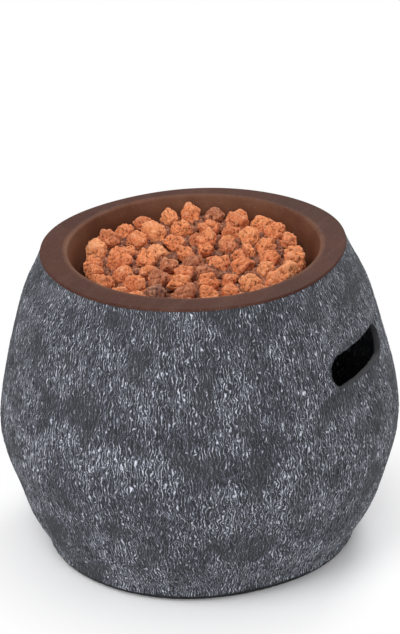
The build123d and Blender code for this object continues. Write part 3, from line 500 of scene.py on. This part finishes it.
finishes = {
    "stone_grey": stone_finish(),
    "stone_brown": rim_finish(),
    "lava": lava_finish(),
    "stainless": metal_finish("stainless", (0.33, 0.29, 0.26), 0.44, 300.0, (1, 1, 6)),
    "screw_steel": metal_finish("screw_steel", (0.56, 0.56, 0.57), 0.34, 900.0),
    "brass": metal_finish("brass", (0.74, 0.55, 0.27), 0.28, 700.0, (1, 1, 5)),
    "tube_aluminium": metal_finish("tube_aluminium", (0.75, 0.76, 0.77), 0.30, 600.0, (6, 1, 6)),
    "die_cast": metal_finish("die_cast", (0.55, 0.56, 0.58), 0.46, 500.0),
    "nickel": metal_finish("nickel", (0.68, 0.66, 0.62), 0.20, 900.0),
    "copper_lead": metal_finish("copper_lead", (0.70, 0.38, 0.24), 0.36, 500.0),
    "panel_black": moulded_finish("panel_black", (0.020, 0.020, 0.021), 0.52, 1300.0, 0.00025),
    "black_plastic": moulded_finish("black_plastic", (0.018, 0.018, 0.019), 0.42, 2200.0, 0.00010),
    "button_plastic": moulded_finish("button_plastic", (0.024, 0.024, 0.026), 0.24, 600.0, 0.00003, 0.5),
    "mark_paint": moulded_finish("mark_paint", (0.62, 0.62, 0.60), 0.55, 1800.0, 0.00005),
    "rubber": moulded_finish("rubber", (0.022, 0.022, 0.021), 0.80, 900.0, 0.00020),
    "ceramic_white": moulded_finish("ceramic_white", (0.80, 0.77, 0.70), 0.22, 300.0, 0.00004, 0.6),
    "wire_jacket": moulded_finish("wire_jacket", (0.42, 0.045, 0.030), 0.50, 800.0, 0.00006),
    "battery_wrap": moulded_finish("battery_wrap", (0.30, 0.31, 0.33), 0.35, 500.0, 0.00003),
}

# Every CAD node takes the finish of its slot
slot_of = {row["node"]: row["material_slot"] for row in frame["record"]["subparts"]}
for node, source in frame["nodes"].items():
    source.data.materials.clear()
    source.data.materials.append(finishes[slot_of[node]])


# Stone skin

def in_panel_recess(places):
    """True for the stone behind and just round the control panel."""
    low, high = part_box("control_panel")
    inside = (np.abs(places[:, 0]) < high[0] + RECESS_EDGE) & (places[:, 2] > low[2] - RECESS_EDGE)
    inside &= (places[:, 2] < high[2] + RECESS_EDGE) & (places[:, 1] > 0)
    return inside & (places[:, 1] < low[1] + RECESS_EDGE)


def in_hand_slot(places, radial):
    """True for the stone in and just round the hand slots."""
    inside = (np.abs(places[:, 2] - SLOT_Z) < SLOT_HALF_HEIGHT) & (np.abs(places[:, 1]) < SLOT_HALF_LENGTH)
    return inside & (radial > SLOT_INNER_RADIUS)


def stone_relief(places, patch, bottom_edge):
    """Carved strokes, chips and flakes on the stone, from 0 in the gaps to 1 on the crests."""
    drift = DRIFT * np.column_stack(
        [noise(places / DRIFT_SIZE + shift, 11 + k) for k, shift in enumerate((0, 17, 31))])
    wander = places + drift
    along = wander[:, 2:3] / STROKE_LENGTH
    across = wander[:, :2] / STROKE_WIDTH
    coarse = ridges(np.column_stack([across, along]), 3, 1.9)
    middle = ridges(np.column_stack([across * 0.45, along * 0.5]) + 5.3, 5, 1.7)
    relief = 0.46 * coarse + 0.26 * middle + 0.28 * clouds(wander / STONE_CHIP_SIZE, 7)
    relief = relief * (1 - 0.45 * patch) + 0.22 * patch
    crust = smooth_step(0.05, 0.35, noise(places / CRUST_SIZE, 29)) * smooth_step(*CRUST_FADE_Z, places[:, 2])
    flakes = smooth_step(-0.05, 0.30, noise(wander / FLAKE_SIZE, 33))
    relief = np.clip(relief + 0.55 * crust * flakes, 0, 1)
    # flatter at the bottom edge, which also paints shade there through the colour
    return relief * (1 - 0.85 * bottom_edge)


def build_stone():
    mesh = remeshed("stone_body", STONE_VOXEL)
    places, normals = mesh_arrays(mesh)
    radial = np.hypot(places[:, 0], places[:, 1])[:, None]
    outward = np.column_stack([places[:, :2] / np.maximum(radial, 1e-6), np.zeros(len(places))])
    facing = np.sum(normals * outward, axis=1)
    outer = smooth_step(0.15, 0.55, facing)
    outer = np.where(in_panel_recess(places), RECESS_RELIEF * outer, outer)

    patch = smooth_step(0.12, 0.45, noise(places / PATCH_SIZE + 3.7, 13)) * outer
    bottom_edge = smooth_step(*BOTTOM_EDGE_Z, places[:, 2])
    relief = stone_relief(places, patch, bottom_edge)
    lump = 0.5 + 0.35 * noise(places / np.array(LUMP_SIZE), 17) + 0.15 * noise(places / SMALL_LUMP_SIZE, 19)

    # the skin comes out flush with the rim bowl at its seat
    start, end = FLUSH_BELOW_SEAT
    flush = smooth_step(SEAT_Z - start, SEAT_Z - end, places[:, 2])
    depth = outer * (STROKE_DEPTH * (1 - relief) + LUMP_DEPTH * (1 - lump)) * (1 - 0.8 * flush)
    set_places(mesh, places - normals * depth[:, None])

    add_attribute(mesh, "relief", np.where(outer > 0.3, relief, NEUTRAL_RELIEF))
    # painted shade along the bottom edge
    add_attribute(mesh, "bottom_shade", bottom_edge)
    add_attribute(mesh, "patch", patch)
    # painted shade on the walls inside the hand slots, by how far they turn from facing out
    painted_slot_shade = 1 - smooth_step(0.45, 0.75, facing)
    add_attribute(mesh, "slot_shade_mask", np.where(in_hand_slot(places, radial[:, 0]), painted_slot_shade, 0.0))
    piece = new_piece("stone_skin", mesh, "bowl", finishes["stone_grey"])
    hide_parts("stone_body")


# Lava rocks

def islands(mesh):
    """The centre and the outward planes of each separate solid in a mesh."""
    form = bmesh.new()
    form.from_mesh(mesh)
    bmesh.ops.remove_doubles(form, verts=form.verts, dist=1e-6)
    left = set(form.verts)
    found = []
    while left:
        group = [left.pop()]
        for vert in group:
            for edge in vert.link_edges:
                other = edge.other_vert(vert)
                if other in left:
                    left.remove(other)
                    group.append(other)
        corners = np.array([vert.co for vert in group])
        centre = corners.mean(axis=0)
        planes = []
        for face in {face for vert in group for face in vert.link_faces}:
            if face.calc_area() > 1e-10:
                normal = np.array(face.normal)
                distance = float(np.dot(normal, np.array(face.verts[0].co) - centre))
                planes.append((*normal * np.sign(distance), abs(distance)))
        found.append((centre, np.array(planes)))
    form.free()
    return sorted(found, key=lambda entry: tuple(np.round(entry[0], 5)))


def ball(levels):
    """Directions and faces of an even ball of triangles."""
    form = bmesh.new()
    bmesh.ops.create_icosphere(form, subdivisions=levels, radius=1.0)
    rays = np.array([vert.co.normalized() for vert in form.verts])
    faces = np.array([[vert.index for vert in face.verts] for face in form.faces])
    form.free()
    return rays, faces


def rock_surface(rays, planes, shift, roundness):
    """Places round a rock's centre, and its relief: lumps, folds, knobs and pits within the rock's planes."""
    toward = np.clip(rays @ planes[:, :3].T, 1e-3, None) / planes[:, 3]
    reach = np.sum(toward ** roundness, axis=1) ** (-1 / roundness)
    size = reach.mean()
    lumps = clouds(rays * 1.4 + shift, 41)
    creases = 1 - smooth_step(0.0, 0.30, np.abs(noise(rays * 1.5 + shift, 49)))
    knobs = clouds(rays * 3.0 + shift, 43)
    grains = clouds(rays * size / ROCK_GRAIN + shift, 45)
    pits = smooth_step(0.12, 0.50, noise(rays * size / ROCK_PIT + shift, 47))
    relief = np.clip(0.40 * lumps + 0.45 * knobs + 0.30 * grains - 0.40 * pits - 0.30 * creases, 0, 1)
    sunk = 0.30 * (1 - lumps) + 0.10 * (1 - knobs) + 0.05 * (1 - grains)
    sunk = sunk + 0.06 * creases + ROCK_PIT_DEPTH * pits
    return rays * (reach * (1 - sunk))[:, None], relief


def chip_centres(rocks, draw):
    """Places for small chips in the gaps between the rocks of the bed."""
    centres = np.array([centre for centre, planes in rocks])
    sizes = np.array([planes[:, 3].mean() for centre, planes in rocks])
    low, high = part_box("lava_rocks")
    found = []
    for x in np.arange(low[0], high[0], CHIP_SPACING):
        for y in np.arange(low[1], high[1], CHIP_SPACING):
            place = np.array([x, y, 0.0]) + draw.uniform(-CHIP_SCATTER, CHIP_SCATTER, 3) * CHIP_SPACING
            if np.hypot(place[0], place[1]) > high[0] - 1.3 * CHIP_REACH:
                continue
            near = np.hypot(centres[:, 0] - place[0], centres[:, 1] - place[1]) < CHIP_NEIGHBOUR
            if not near.any():
                continue
            place[2] = min(np.max(centres[near, 2]) - CHIP_DROP, high[2] - 2 * CHIP_REACH)
            if np.all(np.linalg.norm(centres - place, axis=1) > CHIP_CLEARANCE * sizes):
                found.append(place)
    return found


def bed_pieces(draw):
    """Centre, planes, ball, roundness and tone share of each rock, and then of each chip."""
    fine, coarse, small = ball(5), ball(4), ball(3)
    spread = ball(1)[0]
    rocks = islands(frame["nodes"]["lava_rocks"].data)
    pieces = []
    for centre, planes in rocks:
        grown = planes * np.array([1, 1, 1, draw.uniform(*ROCK_GROWTH)])
        pieces.append((centre, grown, fine if centre[2] > UPPER_ROCK_Z else coarse, ROCK_ROUNDNESS, 1.0))
    for place in chip_centres(rocks, draw):
        sides = spread + draw.normal(scale=CHIP_TILT, size=spread.shape)
        sides /= np.linalg.norm(sides, axis=1)[:, None]
        reach = CHIP_REACH * draw.uniform(*CHIP_PLANES, len(sides))
        # chips take a low tone: painted shade in the gaps between the rocks
        pieces.append((place, np.column_stack([sides, reach]), small, CHIP_ROUNDNESS, CHIP_SHADE_TONE))
    return pieces


def build_rocks():
    draw = np.random.default_rng(ROCK_SEED)
    places, faces, tones, reliefs = [], [], [], []
    count = 0
    for centre, planes, (rays, triangles), roundness, share in bed_pieces(draw):
        shape, relief = rock_surface(rays, planes, draw.uniform(-NOISE_SHIFT, NOISE_SHIFT, 3), roundness)
        # rocks at the front and in the middle are given a lower tone
        toned_down = centre[1] < TONED_DOWN_FRONT_Y or np.hypot(centre[0], centre[1]) < TONED_DOWN_RADIUS
        tone = draw.beta(*TONE_DRAW) * share * (TONED_DOWN_SHARE if toned_down else 1.0)
        places.append(centre + shape)
        faces.append(triangles + count)
        tones.append(np.full(len(rays), tone))
        reliefs.append(relief)
        count += len(rays)
    mesh = bpy.data.meshes.new("lava_bed")
    mesh.from_pydata(np.vstack(places).tolist(), [], np.vstack(faces).tolist())
    add_attribute(mesh, "tone", np.concatenate(tones))
    add_attribute(mesh, "relief", np.concatenate(reliefs))
    piece = new_piece("lava_bed", mesh, "bowl", finishes["lava"])
    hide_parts("lava_rocks")


# Marks on the controls

def raised_plates(name, outlines, low_y, high_y, body):
    """Thin painted plates: each outline lies in x and z, and stands from low_y to high_y."""
    form = bmesh.new()
    for outline in outlines:
        back = [form.verts.new((x, low_y, z)) for x, z in outline]
        front = [form.verts.new((x, high_y, z)) for x, z in outline]
        form.faces.new(back)
        form.faces.new(front)
        for k in range(len(outline)):
            after = (k + 1) % len(outline)
            form.faces.new((back[k], back[after], front[after], front[k]))
    bmesh.ops.recalc_face_normals(form, faces=form.faces)
    mesh = bpy.data.meshes.new(name)
    form.to_mesh(mesh)
    form.free()
    new_piece(name, mesh, body, finishes["mark_paint"])
    mesh.polygons.foreach_set("use_smooth", [False] * len(mesh.polygons))


def tick(centre, angle, inner, outer, width):
    """A bar that points away from a centre, at an angle from straight up towards +X."""
    along = np.array([sin(angle), cos(angle)])
    side = np.array([cos(angle), -sin(angle)]) * width / 2
    return [tuple(centre + along * reach + side * sign)
            for reach, sign in ((inner, -1), (outer, -1), (outer, 1), (inner, 1))]


def build_marks():
    low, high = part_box("control_knob")
    centre = np.array([(low[0] + high[0]) / 2, (low[2] + high[2]) / 2])
    radius = (high[0] - low[0]) / 2
    panel_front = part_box("control_panel")[1][1]
    start = radius + TICK_GAP
    ticks = []
    for k in range(DIAL_TICKS):
        share = k / (DIAL_TICKS - 1)
        end = start + TICK_LENGTH + TICK_GROWTH * share
        ticks.append(tick(centre, DIAL_TURN * share, start, end, TICK_WIDTH))
    raised_plates("dial_marks", ticks, panel_front - TICK_SUNK, panel_front + PAINT_HEIGHT, "bowl")
    pointer = tick(centre, 0.0, radius * POINTER_SPAN[0], radius * POINTER_SPAN[1], POINTER_WIDTH)
    raised_plates("knob_pointer", [pointer], high[1] - POINTER_SUNK, high[1] + PAINT_HEIGHT, "knob")


build_stone()
build_rocks()
build_marks()


# Floor, light and camera

def build_floor():
    mesh = bpy.data.meshes.new("floor")
    corners = [(x * FLOOR_REACH, y * FLOOR_REACH, 0) for x, y in ((-1, -1), (1, -1), (1, 1), (-1, 1))]
    mesh.from_pydata(corners, [], [(0, 1, 2, 3)])
    floor = bpy.data.objects.new("floor", mesh)
    bpy.context.scene.collection.objects.link(floor)
    f = Finish("floor_white", Roughness=0.9, Specular_IOR_Level=0.0)
    f.feed("Base Color", (*FLOOR_COLOUR, 1))
    path = f.add("ShaderNodeLightPath")
    seen = f.math("MAXIMUM", path.outputs["Is Camera Ray"], path.outputs["Is Glossy Ray"])
    seen = f.math("MAXIMUM", seen, path.outputs["Is Transmission Ray"])
    lift = f.add("ShaderNodeEmission")
    f.put(lift.inputs["Strength"], f.math("MULTIPLY", seen, FLOOR_LIFT))
    lit = f.add("ShaderNodeAddShader")
    f.put(lit.inputs[0], f.shader.outputs[0])
    f.put(lit.inputs[1], lift.outputs[0])
    white = f.add("ShaderNodeEmission")
    blend = f.add("ShaderNodeMixShader")
    f.put(blend.inputs[0], f.math("MULTIPLY", seen, f.span(f.radius(), *FLOOR_FADE)))
    f.put(blend.inputs[1], lit.outputs[0])
    f.put(blend.inputs[2], white.outputs[0])
    f.put(f.tree.nodes["Material Output"].inputs["Surface"], blend.outputs[0])
    mesh.materials.append(f.material)


def build_world():
    world = bpy.data.worlds.new("studio")
    bpy.context.scene.world = world
    world.use_nodes = True
    nodes = world.node_tree.nodes
    links = world.node_tree.links
    ambient = nodes["Background"]
    ambient.inputs["Color"].default_value = (*AMBIENT_COLOUR, 1)
    ambient.inputs["Strength"].default_value = AMBIENT_STRENGTH
    white = nodes.new("ShaderNodeBackground")
    white.inputs["Color"].default_value = (1, 1, 1, 1)
    path = nodes.new("ShaderNodeLightPath")
    seen = path.outputs["Is Camera Ray"]
    for ray in ("Is Glossy Ray", "Is Transmission Ray"):
        either = nodes.new("ShaderNodeMath")
        either.operation = "MAXIMUM"
        links.new(seen, either.inputs[0])
        links.new(path.outputs[ray], either.inputs[1])
        seen = either.outputs[0]
    blend = nodes.new("ShaderNodeMixShader")
    links.new(seen, blend.inputs[0])
    links.new(ambient.outputs[0], blend.inputs[1])
    links.new(white.outputs[0], blend.inputs[2])
    links.new(blend.outputs[0], nodes["World Output"].inputs["Surface"])


def camera_basis():
    """Right, level, forward and up of the camera before it is aimed off the target."""
    right = Vector((cos(CAMERA_AZIMUTH), sin(CAMERA_AZIMUTH), 0))
    level = Vector((-sin(CAMERA_AZIMUTH), cos(CAMERA_AZIMUTH), 0))
    forward = level * cos(CAMERA_ELEVATION) - Vector((0, 0, 1)) * sin(CAMERA_ELEVATION)
    return right, level, forward, right.cross(forward)


def build_lights():
    right, level = camera_basis()[:2]
    target = Vector((0, 0, LAMP_TARGET_Z))
    for name, sideways, away, height, size, watts in LAMPS:
        lamp = bpy.data.lights.new(name, "AREA")
        lamp.shape = "DISK"
        lamp.size = size
        lamp.energy = watts
        holder = bpy.data.objects.new(name, lamp)
        bpy.context.scene.collection.objects.link(holder)
        place = target + right * sideways + level * away + Vector((0, 0, height))
        turn = (target - place).to_track_quat("-Z", "Y").to_matrix().to_4x4()
        holder.matrix_world = Matrix.Translation(place) @ turn


def build_camera():
    target = Vector((0, 0, CAMERA_TARGET_Z))
    right, _, forward, up = camera_basis()
    place = target - forward * CAMERA_DISTANCE
    turn = atan2(TARGET_PIXEL[0] - IMAGE_WIDTH / 2, FOCAL_PIXELS)
    tip = atan2(TARGET_PIXEL[1] - IMAGE_HEIGHT / 2, FOCAL_PIXELS)
    aimed = forward * cos(turn) - right * sin(turn)
    side = right * cos(turn) + forward * sin(turn)
    look = aimed * cos(tip) + up * sin(tip)
    top = up * cos(tip) - aimed * sin(tip)
    across = side * cos(CAMERA_ROLL) + top * sin(CAMERA_ROLL)
    rise = top * cos(CAMERA_ROLL) - side * sin(CAMERA_ROLL)
    data = bpy.data.cameras.new("camera")
    data.sensor_width = SENSOR
    data.lens = FOCAL_PIXELS / IMAGE_HEIGHT * SENSOR
    data.clip_start = CLIP_START
    camera = bpy.data.objects.new("camera", data)
    bpy.context.scene.collection.objects.link(camera)
    turned = Matrix((across, rise, -look)).transposed().to_4x4()
    camera.matrix_world = Matrix.Translation(place) @ turned
    bpy.context.scene.camera = camera


build_floor()
build_world()
build_lights()
build_camera()
bpy.context.scene.view_settings.view_transform = "Standard"
